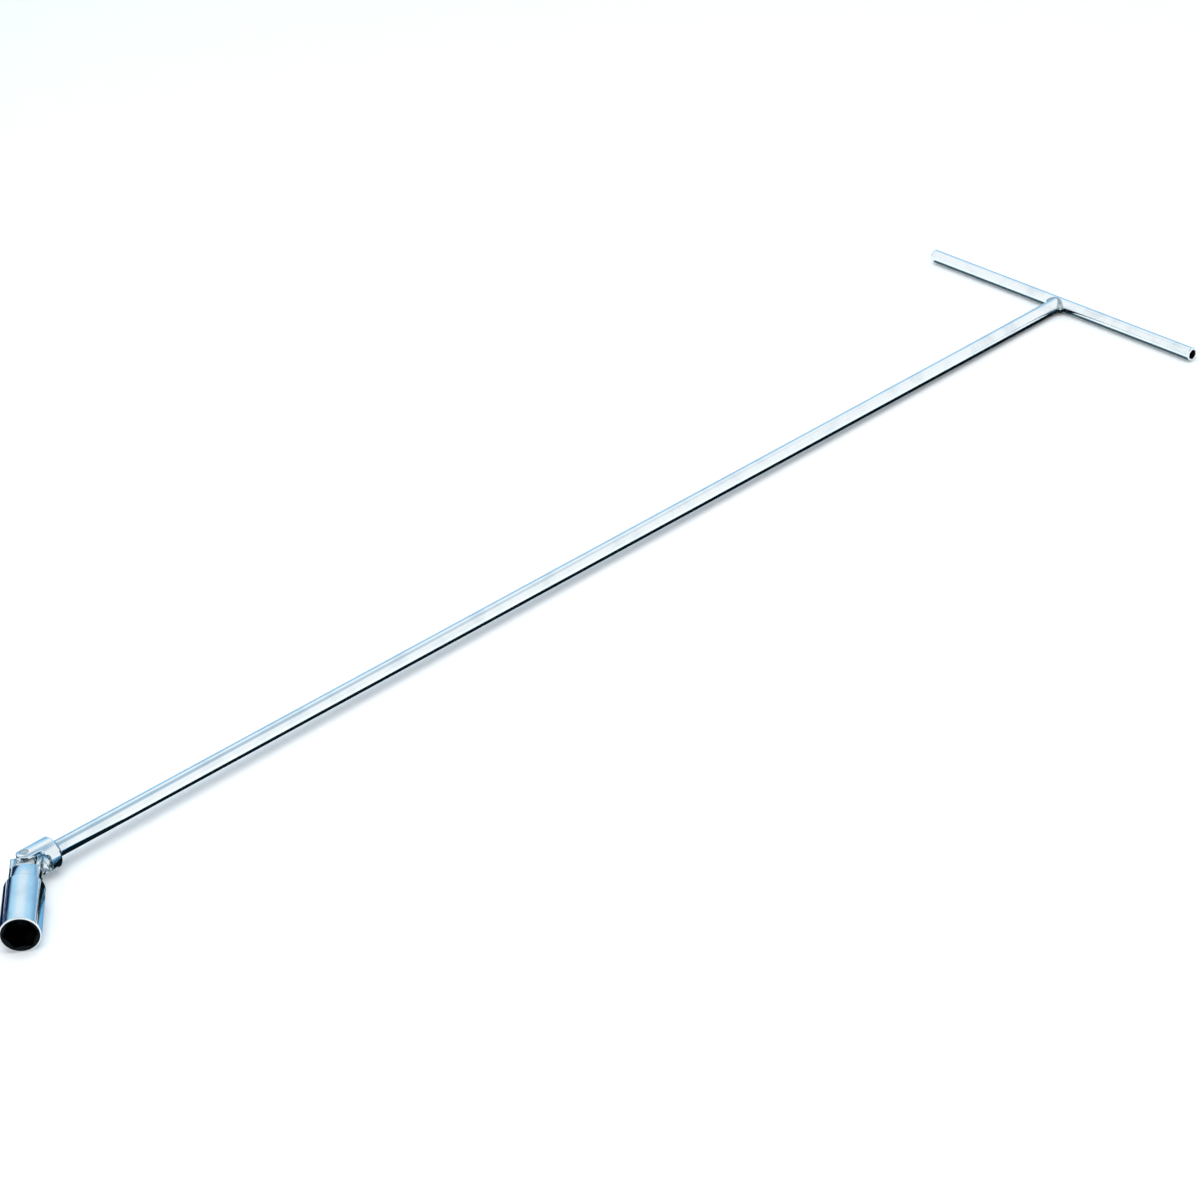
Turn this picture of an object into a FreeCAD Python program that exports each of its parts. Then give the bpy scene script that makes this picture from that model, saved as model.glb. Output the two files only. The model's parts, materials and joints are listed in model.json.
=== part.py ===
import FreeCAD, Part
import math
import os

import Sketcher
from FreeCAD import Placement, Rotation, Vector

# Long T-handle wheel-nut wrench. A slim rod carries a cross bar at one end and, at the other, a universal joint
# with a deep hexagon socket. The joint is two forks on a cross-drilled block: the rod's fork turns on the long pin,
# the socket's fork on the short pin that passes through it.
#
# Row frame: origin at the centre of the socket's mouth, +Y along the socket's axis into the wrench, +Z up.
# The wrench lies flat: the socket and the weld at the handle touch the same plane, one socket radius below the origin.
#
# Group frames, both with their origin where the two pins cross:
#   shaft group   +X along the rod towards the handle, +Z along the long pin
#   socket group  +X along the socket towards its mouth, +Z along the short pin

SHEET = "dims"

DIMENSIONS = (
    # alias, millimetres or degrees, meaning
    ("flex_angle", 54, "bend of the joint away from straight"),
    ("rod_diameter", 11, "round rod"),
    ("rod_reach", 940, "joint centre to the axis of the handle bar"),
    ("rod_setback", 1.5, "rod's end face, short of the bar's axis"),
    ("spigot_diameter", 8, "turned end of the rod inside its fork"),
    ("spigot_length", 6, "depth of that end in the fork"),
    ("bar_diameter", 10, "handle tube, outside"),
    ("bar_bore", 7, "handle tube, inside"),
    ("bar_length", 265, "handle tube, end to end"),
    ("bar_chamfer", 0.6, "broken edge at the tube's ends"),
    ("bead_start", 9, "handle weld, from the bar's axis back along the rod"),
    ("bead_spread", 8, "handle weld, radius about the rod where it meets the bar"),
    ("bead_height", 6, "handle weld, above and below the rod's axis"),
    ("fork_diameter", 21, "both forks"),
    ("fork_chamfer", 1, "edge at the back of both forks"),
    ("ear_width", 10.4, "fork ears, and twice the radius of their tips"),
    ("ear_edge", 0.5, "rounded outer edges of the ears"),
    ("ear_relief", 1.0, "bevel along the slot side of the ears, which lets the forks pass"),
    ("flank_reach", 10, "joint centre to the end of the ears' flats"),
    ("flank_radius", 2, "hollow corner between ear and collar"),
    ("slot_width", 12.8, "gap between two ears"),
    ("slot_reach", 12.6, "joint centre to the floor of the slot"),
    ("slot_radius", 2.5, "corners of the slot's floor"),
    ("rod_fork_back", 20, "joint centre to the back of the rod's fork"),
    ("socket_fork_back", 25, "joint centre to the back of the socket's fork"),
    ("ring_weld_leg", 2.6, "weld between rod and fork"),
    ("block_width", 12.2, "block, each way"),
    ("block_chamfer", 1.2, "edges of the block"),
    ("long_pin_diameter", 6, "pin through the rod's fork"),
    ("short_pin_diameter", 4, "pin through the socket's fork"),
    ("pin_length", 20, "both joint pins"),
    ("pin_chamfer", 0.6, "ends of the pins"),
    ("running_gap", 0.05, "radial clearance where a pin turns"),
    ("tail_diameter", 12, "tail of the socket's fork, pressed into the socket"),
    ("tail_length", 12, "length of that tail"),
    ("socket_diameter", 26, "socket, outside"),
    ("socket_length", 46, "socket, end to end"),
    ("socket_edge", 0.8, "outer edges of the socket"),
    ("mouth_diameter", 24, "outer end of the lead-in cone"),
    ("mouth_cone_depth", 1.6, "depth of the lead-in cone"),
    ("across_flats", 19.2, "hexagon for a 19 mm nut"),
    ("hexagon_depth", 20, "depth of the hexagon"),
    ("stud_bore", 17, "clearance bore behind the hexagon"),
    ("lock_pin_diameter", 4, "pin that locks the tail in the socket"),
    ("lock_pin_reach", 31, "joint centre to that pin"),
)


def value(alias):
    return next(number for name, number, _ in DIMENSIONS if name == alias)


def add_sheet(doc):
    sheet = doc.addObject("Spreadsheet::Sheet", SHEET)
    for row, (alias, number, meaning) in enumerate(DIMENSIONS, start=1):
        sheet.set(f"A{row}", meaning)
        sheet.set(f"B{row}", str(number))
        sheet.setAlias(f"B{row}", alias)
    doc.recompute()


def bound(text):
    """The same expression with every alias pointed at the sheet."""
    words = {alias: f"{SHEET}.{alias}" for alias, _, _ in DIMENSIONS}
    return " ".join(words.get(word, word) for word in text.split())


# Bodies, sketches and features


def add_body(doc, label, placement):
    body = doc.addObject("PartDesign::Body", label)
    body.Label = label
    body.Placement = placement
    return body


def add_sketch(body, name, plane):
    sketch = body.newObject("Sketcher::SketchObject", name)
    origin_plane = next(item for item in body.Origin.OriginFeatures if item.Role == plane)
    sketch.AttachmentSupport = [(origin_plane, "")]
    sketch.MapMode = "FlatFace"
    sketch.Document.recompute()
    return sketch


def pin_point(sketch, geometry, end, x, y):
    """Holds one end of a sketch line at the expressions x and y."""
    for kind, axis, text in (("DistanceX", -2, x), ("DistanceY", -1, y)):
        if text == "0":
            sketch.addConstraint(Sketcher.Constraint("PointOnObject", geometry, end, axis))
            continue
        number = float(sketch.evalExpression(bound(text)))
        index = sketch.addConstraint(Sketcher.Constraint(kind, -1, 1, geometry, end, number))
        sketch.setExpression(f"Constraints[{index}]", bound(text))


def arc_between(start, end, radius, turn):
    """The arc of under half a turn from start to end, turn 1 anticlockwise or -1 clockwise."""
    chord = end - start
    middle = (start + end) * 0.5
    rise = math.sqrt(max(radius**2 - (chord.Length / 2) ** 2, 0))
    side = Vector(-chord.y, chord.x, 0).normalize() * turn
    centre = middle + side * rise
    first, last = (start, end) if turn > 0 else (end, start)
    circle = Part.Circle(centre, Vector(0, 0, 1), radius)
    angles = [math.atan2(point.y - centre.y, point.x - centre.x) for point in (first, last)]
    return Part.ArcOfCircle(circle, *angles)


def add_outline(sketch, stops):
    """A closed outline. A stop is (x, y), or (x, y, radius, turn) where an arc leads on from it."""
    places = [Vector(*(float(sketch.evalExpression(bound(text))) for text in stop[:2]), 0) for stop in stops]
    ends = []
    for index, stop in enumerate(stops):
        start, end = places[index], places[(index + 1) % len(stops)]
        if len(stop) == 2:
            geometry = sketch.addGeometry(Part.LineSegment(start, end))
            ends.append((geometry, 1, 2))
            continue
        radius = float(sketch.evalExpression(bound(stop[2])))
        geometry = sketch.addGeometry(arc_between(start, end, radius, stop[3]))
        ends.append((geometry, 1, 2) if stop[3] > 0 else (geometry, 2, 1))
    for index, (geometry, first, last) in enumerate(ends):
        follower, follower_first, _ = ends[(index + 1) % len(ends)]
        sketch.addConstraint(Sketcher.Constraint("Coincident", geometry, last, follower, follower_first))
    for (geometry, first, _), stop in zip(ends, stops):
        pin_point(sketch, geometry, first, *stop[:2])
    for (geometry, _, _), stop in zip(ends, stops):
        if len(stop) > 2:
            number = float(sketch.evalExpression(bound(stop[2])))
            index = sketch.addConstraint(Sketcher.Constraint("Radius", geometry, number))
            sketch.setExpression(f"Constraints[{index}]", bound(stop[2]))


def add_circle(sketch, diameter, x="0", y="0"):
    centre = Vector(*(float(sketch.evalExpression(bound(text))) for text in (x, y)), 0)
    number = float(sketch.evalExpression(bound(diameter)))
    geometry = sketch.addGeometry(Part.Circle(centre, Vector(0, 0, 1), number / 2))
    pin_point(sketch, geometry, 3, x, y)
    index = sketch.addConstraint(Sketcher.Constraint("Diameter", geometry, number))
    sketch.setExpression(f"Constraints[{index}]", bound(diameter))


def add_turning(body, name, stops):
    """A solid of revolution about the body's X axis, from its half section in the XY plane."""
    sketch = add_sketch(body, f"{name}_section", "XY_Plane")
    add_outline(sketch, stops)
    turning = body.newObject("PartDesign::Revolution", name)
    turning.Profile = sketch
    turning.ReferenceAxis = (sketch, ["H_Axis"])
    turning.Angle = 360


def add_cut_through(body, name, plane, draw):
    """A pocket that runs right through the body, both ways from one of its origin planes."""
    sketch = add_sketch(body, f"{name}_outline", plane)
    draw(sketch)
    pocket = body.newObject("PartDesign::Pocket", name)
    pocket.Profile = sketch
    pocket.Midplane = True
    pocket.Type = 0
    pocket.setExpression("Length", bound("3 * fork_diameter"))
    return pocket


def edge_names(shape, wanted):
    return [f"Edge{number}" for number, edge in enumerate(shape.Edges, start=1) if wanted(edge)]


def add_edge_feature(body, kind, base, size_name, size, wanted):
    """A fillet or chamfer on the edges of the base feature that the test picks out."""
    body.Document.recompute()
    feature = body.newObject(f"PartDesign::{kind}", f"{base.Name}_{kind.lower()}")
    feature.Base = (base, edge_names(base.Shape, wanted))
    feature.setExpression(size_name, bound(size))
    return feature


# Placements of the groups


def shaft_placement():
    """Joint centre on the socket's axis, rod bent away by the flex angle and dipping to rest on the handle weld."""
    dip = math.asin((value("socket_diameter") / 2 - value("bead_height")) / value("rod_reach"))
    bearing = Rotation(Vector(0, 0, 1), 90 - value("flex_angle"))
    lean = Rotation(Vector(0, 1, 0), math.degrees(dip))
    return Placement(joint_centre(), bearing * lean)


def joint_centre():
    return Vector(0, value("socket_length") + value("socket_fork_back"), 0)


def long_pin_axis():
    return shaft_placement().Rotation.multVec(Vector(0, 0, 1))


def short_pin_axis():
    """Square to the long pin and to the socket's axis."""
    return Vector(0, 1, 0).cross(long_pin_axis()).normalize()


def block_placement():
    """Block frame: +X along the short pin, +Z along the long pin."""
    across, up = short_pin_axis(), long_pin_axis()
    return Placement(joint_centre(), Rotation(across, up.cross(across), up, "ZXY"))


def socket_placement():
    ahead, across = Vector(0, -1, 0), short_pin_axis()
    return Placement(joint_centre(), Rotation(ahead, across.cross(ahead), across, "ZXY"))


# Turns that carry a body's own X axis onto its group's Y or Z axis

X_TO_Y = Placement(Vector(0, 0, 0), Rotation(Vector(0, 0, 1), 90))
X_TO_Z = Placement(Vector(0, 0, 0), Rotation(Vector(0, 1, 0), -90))


# Sub-parts


def make_handle_bar(doc):
    """Tube across the end of the rod, open at both ends."""
    centre = Placement(Vector(value("rod_reach"), 0, 0), Rotation())
    body = add_body(doc, "handle_bar", shaft_placement() * centre * X_TO_Y)
    outer, inner, end = "bar_diameter / 2", "bar_bore / 2", "bar_length / 2"
    add_turning(
        body,
        "tube",
        [
            (f"-1 * {end}", inner),
            (f"-1 * {end}", f"{outer} - bar_chamfer"),
            (f"-1 * {end} + bar_chamfer", outer),
            (f"{end} - bar_chamfer", outer),
            (end, f"{outer} - bar_chamfer"),
            (end, inner),
        ],
    )
    return body


def make_shaft_rod(doc):
    """Long rod, turned down into a spigot at the fork and hollowed to sit on the bar at the handle."""
    body = add_body(doc, "shaft_rod", shaft_placement())
    tip = "rod_fork_back - spigot_length"
    end = "rod_reach - rod_setback"
    add_turning(
        body,
        "rod",
        [
            (tip, "0"),
            (tip, "spigot_diameter / 2"),
            ("rod_fork_back", "spigot_diameter / 2"),
            ("rod_fork_back", "rod_diameter / 2"),
            (end, "rod_diameter / 2"),
            (end, "0"),
        ],
    )
    add_cut_through(body, "saddle", "XZ_Plane", lambda sketch: add_circle(sketch, "bar_diameter", x="rod_reach"))
    return body


def make_handle_weld(doc):
    """Bead in the corners between rod and bar: a cone about the rod, trimmed level and cut by both."""
    cone = doc.addObject("Part::Cone", "bead_cone")
    cone.setExpression("Radius1", bound("rod_diameter / 2"))
    cone.setExpression("Radius2", bound("bead_spread"))
    cone.setExpression("Height", bound("bead_start"))
    cone.Placement = shaft_placement() * bead_start_placement()
    slab = doc.addObject("Part::Box", "bead_slab")
    slab.setExpression("Length", bound("bead_start - rod_setback"))
    slab.setExpression("Width", bound("2 * bead_spread"))
    slab.setExpression("Height", bound("2 * bead_height"))
    corner = Vector(
        value("rod_reach") - value("bead_start"),
        -value("bead_spread"),
        -value("bead_height"),
    )
    slab.Placement = shaft_placement() * Placement(corner, Rotation())
    trimmed = doc.addObject("Part::Common", "bead_trimmed")
    trimmed.Base, trimmed.Tool = cone, slab
    cutters = []
    for name, diameter, length, placement in (
        ("bead_rod", "rod_diameter", "bead_start + bar_diameter", bead_start_placement()),
        ("bead_bar", "bar_diameter", "4 * bead_spread", bar_cutter_placement()),
    ):
        cutter = doc.addObject("Part::Cylinder", name)
        cutter.setExpression("Radius", bound(f"{diameter} / 2"))
        cutter.setExpression("Height", bound(length))
        cutter.Placement = shaft_placement() * placement
        cutters.append(cutter)
    tools = doc.addObject("Part::Fuse", "bead_tools")
    tools.Base, tools.Tool = cutters
    bead = doc.addObject("Part::Cut", "handle_weld")
    bead.Label = "handle_weld"
    bead.Base, bead.Tool = trimmed, tools
    return bead


def bead_start_placement():
    """Where the bead begins on the rod, +Z along the rod towards the bar."""
    return Placement(Vector(value("rod_reach") - value("bead_start"), 0, 0), Rotation(Vector(0, 1, 0), 90))


def bar_cutter_placement():
    """One end of a cylinder that lies along the bar and reaches past the bead both ways, +Z along the bar."""
    start = Vector(value("rod_reach"), 2 * value("bead_spread"), 0)
    return Placement(start, Rotation(Vector(1, 0, 0), 90))


def cut_fork(body, pin_diameter):
    """Turns a round blank into a fork: flats with round tips, a slot across them, and the hole for its pin."""
    half, far = "ear_width / 2", "fork_diameter"
    corner = f"{half} + flank_radius"

    def flats(sketch):
        add_outline(
            sketch,
            [
                (f"-1 * {far}", f"-1 * {far}"),
                ("flank_reach", f"-1 * {far}"),
                ("flank_reach", f"-1 * ( {corner} )", "flank_radius", 1),
                ("flank_reach - flank_radius", f"-1 * {half}"),
                ("0", f"-1 * {half}", half, -1),
                (f"-1 * {half}", "0", half, -1),
                ("0", half),
                ("flank_reach - flank_radius", half, "flank_radius", 1),
                ("flank_reach", corner),
                ("flank_reach", far),
                (f"-1 * {far}", far),
            ],
        )

    def slot(sketch):
        side = "slot_width / 2"
        add_outline(
            sketch,
            [
                (f"-1 * {far}", f"-1 * {side}"),
                ("slot_reach - slot_radius", f"-1 * {side}", "slot_radius", 1),
                ("slot_reach", f"-1 * ( {side} - slot_radius )"),
                ("slot_reach", f"{side} - slot_radius", "slot_radius", 1),
                ("slot_reach - slot_radius", side),
                (f"-1 * {far}", side),
            ],
        )

    def relief(sketch):
        wall = "slot_width / 2"
        for side, level in ((1, 1), (1, -1), (-1, 1), (-1, -1)):
            add_outline(
                sketch,
                [
                    (f"{side} * {half}", f"{level} * {wall}"),
                    (f"{side} * {half}", f"{level} * ( {wall} + ear_relief )"),
                    (f"{side} * ( {half} - ear_relief )", f"{level} * {wall}"),
                ],
            )

    add_cut_through(body, "flats", "XY_Plane", flats)
    slotted = add_cut_through(body, "slot", "XZ_Plane", slot)
    add_edge_feature(body, "Fillet", slotted, "Radius", "ear_edge", is_outer_ear_edge)
    bevel = add_cut_through(body, "relief", "YZ_Plane", relief)
    bevel.setExpression("Length", bound("2 * ( flank_reach - flank_radius )"))
    add_cut_through(body, "pin_hole", "XY_Plane", lambda sketch: add_circle(sketch, pin_diameter))


def is_outer_ear_edge(edge):
    """Edges where an ear's flank or tip meets its round outer face, clear of the collar."""
    radius = value("fork_diameter") / 2
    points = edge.discretize(5)
    on_surface = all(abs(math.hypot(point.y, point.z) - radius) < 0.01 for point in points)
    return on_surface and min(point.x for point in points) < value("flank_reach") - 0.1


def make_shaft_yoke(doc):
    """Fork on the rod, bored for the rod's spigot."""
    body = add_body(doc, "shaft_yoke", shaft_placement())
    radius, back, bore = "fork_diameter / 2", "rod_fork_back", "spigot_diameter / 2"
    floor = "rod_fork_back - spigot_length"
    add_turning(
        body,
        "blank",
        [
            ("-1 * ear_width / 2", "0"),
            ("-1 * ear_width / 2", radius),
            (f"{back} - fork_chamfer", radius),
            (back, f"{radius} - fork_chamfer"),
            (back, bore),
            (floor, bore),
            (floor, "0"),
        ],
    )
    cut_fork(body, "long_pin_diameter + 2 * running_gap")
    return body


def make_shaft_yoke_weld(doc):
    """Ring of weld in the corner between the rod and the back of its fork."""
    body = add_body(doc, "shaft_yoke_weld", shaft_placement())
    rod, back = "rod_diameter / 2", "rod_fork_back"
    add_turning(
        body,
        "ring",
        [
            (back, rod),
            (back, f"{rod} + ring_weld_leg", "1.2 * ring_weld_leg", -1),
            (f"{back} + ring_weld_leg", rod),
        ],
    )
    return body


def make_centre_block(doc):
    """Cube with broken edges, drilled along the long pin and across it along the short pin."""
    body = add_body(doc, "centre_block", block_placement())
    half, edge = "block_width / 2", "block_chamfer"
    sketch = add_sketch(body, "square", "XY_Plane")
    add_outline(
        sketch,
        [
            (f"-1 * {half}", f"-1 * {half}"),
            (half, f"-1 * {half}"),
            (half, half),
            (f"-1 * {half}", half),
        ],
    )
    cube = body.newObject("PartDesign::Pad", "cube")
    cube.Profile = sketch
    cube.Midplane = True
    cube.setExpression("Length", bound("block_width"))
    add_edge_feature(body, "Chamfer", cube, "Size", edge, lambda edge: True)
    add_cut_through(body, "long_pin_hole", "XY_Plane", lambda sketch: add_circle(sketch, "long_pin_diameter"))
    short = "short_pin_diameter + 2 * running_gap"
    add_cut_through(body, "short_pin_hole", "YZ_Plane", lambda sketch: add_circle(sketch, short))
    return body


def add_pin(body, diameter, length):
    """Round pin along the body's X axis, centred on its origin, with chamfered ends."""
    end, radius = f"( {length} ) / 2", f"{diameter} / 2"
    add_turning(
        body,
        "pin",
        [
            (f"-1 * {end}", "0"),
            (f"-1 * {end}", f"{radius} - pin_chamfer"),
            (f"-1 * {end} + pin_chamfer", radius),
            (f"{end} - pin_chamfer", radius),
            (end, f"{radius} - pin_chamfer"),
            (end, "0"),
        ],
    )


def make_long_pin(doc):
    """Pin of the rod's fork, fast in the block, with a hole across it for the short pin."""
    body = add_body(doc, "long_pin", block_placement() * X_TO_Z)
    add_pin(body, "long_pin_diameter", "pin_length")
    short = "short_pin_diameter + 2 * running_gap"
    add_cut_through(body, "cross_hole", "XY_Plane", lambda sketch: add_circle(sketch, short))
    return body


def make_short_pin(doc):
    """Pin of the socket's fork, fast in its ears, through the block and the long pin."""
    body = add_body(doc, "short_pin", socket_placement() * X_TO_Z)
    add_pin(body, "short_pin_diameter", "pin_length")
    return body


def make_socket_yoke(doc):
    """Fork on the socket, with a tail in the socket's back that the lock pin crosses."""
    body = add_body(doc, "socket_yoke", socket_placement())
    radius, back, tail = "fork_diameter / 2", "socket_fork_back", "tail_diameter / 2"
    end = "socket_fork_back + tail_length"
    add_turning(
        body,
        "blank",
        [
            ("-1 * ear_width / 2", "0"),
            ("-1 * ear_width / 2", radius),
            (f"{back} - fork_chamfer", radius),
            (back, f"{radius} - fork_chamfer"),
            (back, tail),
            (end, tail),
            (end, "0"),
        ],
    )
    cut_fork(body, "short_pin_diameter")
    add_cut_through(
        body, "lock_pin_hole", "XY_Plane", lambda sketch: add_circle(sketch, "lock_pin_diameter", x="lock_pin_reach")
    )
    return body


def make_socket_shell(doc):
    """Deep socket: lead-in cone, hexagon, stud clearance bore and the bore that holds the fork's tail."""
    body = add_body(doc, "socket_shell", socket_placement())
    radius, back, tail = "socket_diameter / 2", "socket_fork_back", "tail_diameter / 2"
    mouth = f"{back} + socket_length"
    floor = f"{back} + tail_length"
    cone_start = f"{mouth} - mouth_cone_depth"
    shoulder = f"{mouth} - hexagon_depth"
    add_turning(
        body,
        "shell",
        [
            (back, tail),
            (back, f"{radius} - socket_edge"),
            (f"{back} + socket_edge", radius),
            (f"{mouth} - socket_edge", radius),
            (mouth, f"{radius} - socket_edge"),
            (mouth, "mouth_diameter / 2"),
            (cone_start, "across_flats / 2"),
            (shoulder, "across_flats / 2"),
            (shoulder, "stud_bore / 2"),
            (floor, "stud_bore / 2"),
            (floor, tail),
        ],
    )
    hexagon = add_sketch(body, "hexagon_outline", "YZ_Plane")
    hexagon.setExpression("AttachmentOffset.Base.z", bound(mouth))
    corner = "across_flats / sqrt(3)"
    side = "across_flats / 2"
    add_outline(
        hexagon,
        [
            (side, f"-1 * {corner} / 2"),
            (side, f"{corner} / 2"),
            ("0", corner),
            (f"-1 * {side}", f"{corner} / 2"),
            (f"-1 * {side}", f"-1 * {corner} / 2"),
            ("0", f"-1 * {corner}"),
        ],
    )
    pocket = body.newObject("PartDesign::Pocket", "hexagon")
    pocket.Profile = hexagon
    pocket.setExpression("Length", bound("hexagon_depth"))
    add_cut_through(
        body, "lock_pin_hole", "XY_Plane", lambda sketch: add_circle(sketch, "lock_pin_diameter", x="lock_pin_reach")
    )
    return body


def make_socket_lock_pin(doc):
    """Plain pin across the socket and the fork's tail, flush with the socket."""
    seat = Placement(Vector(value("lock_pin_reach"), 0, 0), Rotation())
    body = add_body(doc, "socket_lock_pin", socket_placement() * seat * X_TO_Z)
    add_pin(body, "lock_pin_diameter", "socket_diameter - pin_chamfer")
    return body


MAKERS = (
    make_handle_bar,
    make_handle_weld,
    make_shaft_rod,
    make_shaft_yoke,
    make_shaft_yoke_weld,
    make_centre_block,
    make_long_pin,
    make_short_pin,
    make_socket_yoke,
    make_socket_shell,
    make_socket_lock_pin,
)


def check(doc, parts):
    failed = [item.Name for item in doc.Objects if "Invalid" in item.State or "Error" in item.State]
    if failed:
        raise RuntimeError(f"features that did not rebuild: {failed}")
    for part in parts:
        if part.Shape.isNull() or not part.Shape.isValid():
            raise RuntimeError(f"{part.Label} has no valid shape")
        if len(part.Shape.Solids) != 1:
            raise RuntimeError(f"{part.Label} has {len(part.Shape.Solids)} solids")


def main():
    doc = FreeCAD.newDocument("t_handle_wrench")
    add_sheet(doc)
    parts = [make(doc) for make in MAKERS]
    doc.recompute()
    check(doc, parts)
    os.makedirs("parts", exist_ok=True)
    for part in parts:
        part.Shape.exportStep(f"parts/{part.Label}.step")
        print(f"{part.Label}: {part.Shape.Volume:.1f} cubic mm")


main()
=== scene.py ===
"""Bright T-handle wheel-nut wrench: a long rod, a welded tube handle and a deep socket on a universal joint.

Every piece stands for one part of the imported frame. Turned and drawn pieces are computed as numpy grids in
their group's own axes; the two forks and the cube keep the exact machined shape and get broken edges.
"""

import json
import logging
import math
from dataclasses import dataclass, field
from enum import Enum

import bmesh
import bpy
import numpy as np
from bpy.types import Material, Mesh, NodeSocket, NodeTree, Object
from mathutils import Matrix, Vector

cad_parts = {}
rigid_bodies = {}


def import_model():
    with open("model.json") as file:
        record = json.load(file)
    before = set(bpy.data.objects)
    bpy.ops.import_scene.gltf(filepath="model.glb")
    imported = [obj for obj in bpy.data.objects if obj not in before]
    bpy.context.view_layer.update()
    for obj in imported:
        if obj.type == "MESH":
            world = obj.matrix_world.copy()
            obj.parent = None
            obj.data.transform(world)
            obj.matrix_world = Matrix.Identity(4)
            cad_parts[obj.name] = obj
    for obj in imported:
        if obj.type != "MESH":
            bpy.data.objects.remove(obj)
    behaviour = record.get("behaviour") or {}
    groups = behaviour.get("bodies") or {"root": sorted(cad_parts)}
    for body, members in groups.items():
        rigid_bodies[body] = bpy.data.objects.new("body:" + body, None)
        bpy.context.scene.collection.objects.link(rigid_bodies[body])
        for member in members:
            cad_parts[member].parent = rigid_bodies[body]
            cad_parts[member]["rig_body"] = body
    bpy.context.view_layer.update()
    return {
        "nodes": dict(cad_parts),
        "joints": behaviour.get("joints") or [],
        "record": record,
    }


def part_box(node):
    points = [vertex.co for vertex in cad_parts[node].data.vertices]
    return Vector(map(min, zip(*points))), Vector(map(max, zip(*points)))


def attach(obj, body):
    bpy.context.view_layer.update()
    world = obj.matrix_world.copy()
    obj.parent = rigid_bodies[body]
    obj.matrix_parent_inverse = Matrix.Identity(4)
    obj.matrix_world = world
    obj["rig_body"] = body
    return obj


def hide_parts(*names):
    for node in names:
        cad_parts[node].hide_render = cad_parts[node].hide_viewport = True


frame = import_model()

MM = 0.001
FULL_TURN = 2 * math.pi
# How far from the end of a tube or a socket its plate is rubbed.
RUBBED_WIDTH = 0.9 * MM

# Turns of a group's axes that lay the X axis of a pin or a tube along another of them.
ALONG_Y = np.array([[0, -1, 0], [1, 0, 0], [0, 0, 1]])
ALONG_Z = np.array([[0, 0, -1], [0, 1, 0], [1, 0, 0]])

log = logging.getLogger("wrench")


# Axes of the two groups


@dataclass(frozen=True)
class Axes:
    """Right-handed axes of one group of pieces, in the row frame.

    Args:
        origin: where the group's own (0, 0, 0) lies, in metres.
        turn: 3 by 3 array whose columns are the group's X, Y and Z directions.
    """

    origin: np.ndarray
    turn: np.ndarray

    @classmethod
    def from_directions(cls, origin: np.ndarray, x: np.ndarray, z: np.ndarray) -> "Axes":
        """Axes with that X direction and, as nearly as that allows, that Z direction.

        Args:
            origin: the group's origin in the row frame.
            x: direction of the group's X axis.
            z: rough direction of its Z axis.

        Returns:
            The group's axes.
        """
        first = x / np.linalg.norm(x)
        second = np.cross(z, first)
        second = second / np.linalg.norm(second)
        return cls(origin, np.stack([first, second, np.cross(first, second)], axis=1))

    def to_row(self, points: np.ndarray) -> np.ndarray:
        """Points of the group, in the row frame."""
        return points @ self.turn.T + self.origin

    def to_group(self, points: np.ndarray) -> np.ndarray:
        """Points of the row frame, in the group's axes."""
        return (points - self.origin) @ self.turn

    def moved(self, along: float, turn: np.ndarray) -> "Axes":
        """The axes moved along their own X axis, then turned."""
        return Axes(self.origin + self.turn[:, 0] * along, self.turn @ turn)


def record_mount(name: str) -> dict:
    """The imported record's mount of that name."""
    return next(mount for mount in frame["record"]["mounts"] if mount["name"] == name)


def record_joint(name: str) -> dict:
    """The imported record's joint of that name."""
    return next(joint for joint in frame["joints"] if joint["name"] == name)


# Profiles and grids


def unit(vectors: np.ndarray) -> np.ndarray:
    """Each vector scaled to length one."""
    return vectors / np.linalg.norm(vectors, axis=-1, keepdims=True)


def rounded_outline(corners: np.ndarray, radii: np.ndarray, steps: int = 6) -> np.ndarray:
    """Closed outline whose corners are replaced by arcs tangent to both of their sides.

    With the half angle h between a corner's two sides and its radius r, the arc's centre lies r / sin(h)
    along the bisector and the arc turns through pi - 2h. A point just outside each end of the arc holds the
    shading of the flat beside it.

    Args:
        corners: one row (along, out) for each corner.
        radii: radius of each corner's arc.
        steps: points on each arc.

    Returns:
        All points of the outline in order.
    """
    back = unit(np.roll(corners, 1, axis=0) - corners)
    ahead = unit(np.roll(corners, -1, axis=0) - corners)
    half = 0.5 * np.arccos(np.clip(np.sum(back * ahead, axis=1), -1, 1))
    bisector = unit(back + ahead)
    centre = corners + bisector * (radii / np.sin(half))[:, None]
    side = np.sign(back[:, 0] * ahead[:, 1] - back[:, 1] * ahead[:, 0])
    turn = np.linspace(-1, 1, steps)[None, :] * (math.pi / 2 - half)[:, None] * -side[:, None]
    away = -bisector
    arcs = np.stack(
        [
            away[:, None, 0] * np.cos(turn) - away[:, None, 1] * np.sin(turn),
            away[:, None, 0] * np.sin(turn) + away[:, None, 1] * np.cos(turn),
        ],
        axis=2,
    )
    points = centre[:, None, :] + arcs * radii[:, None, None]
    hold = 0.35 * radii[:, None]
    return np.concatenate(
        [points[:, :1] + (back * hold)[:, None], points, points[:, -1:] + (ahead * hold)[:, None]], axis=1
    ).reshape(-1, 2)


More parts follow.
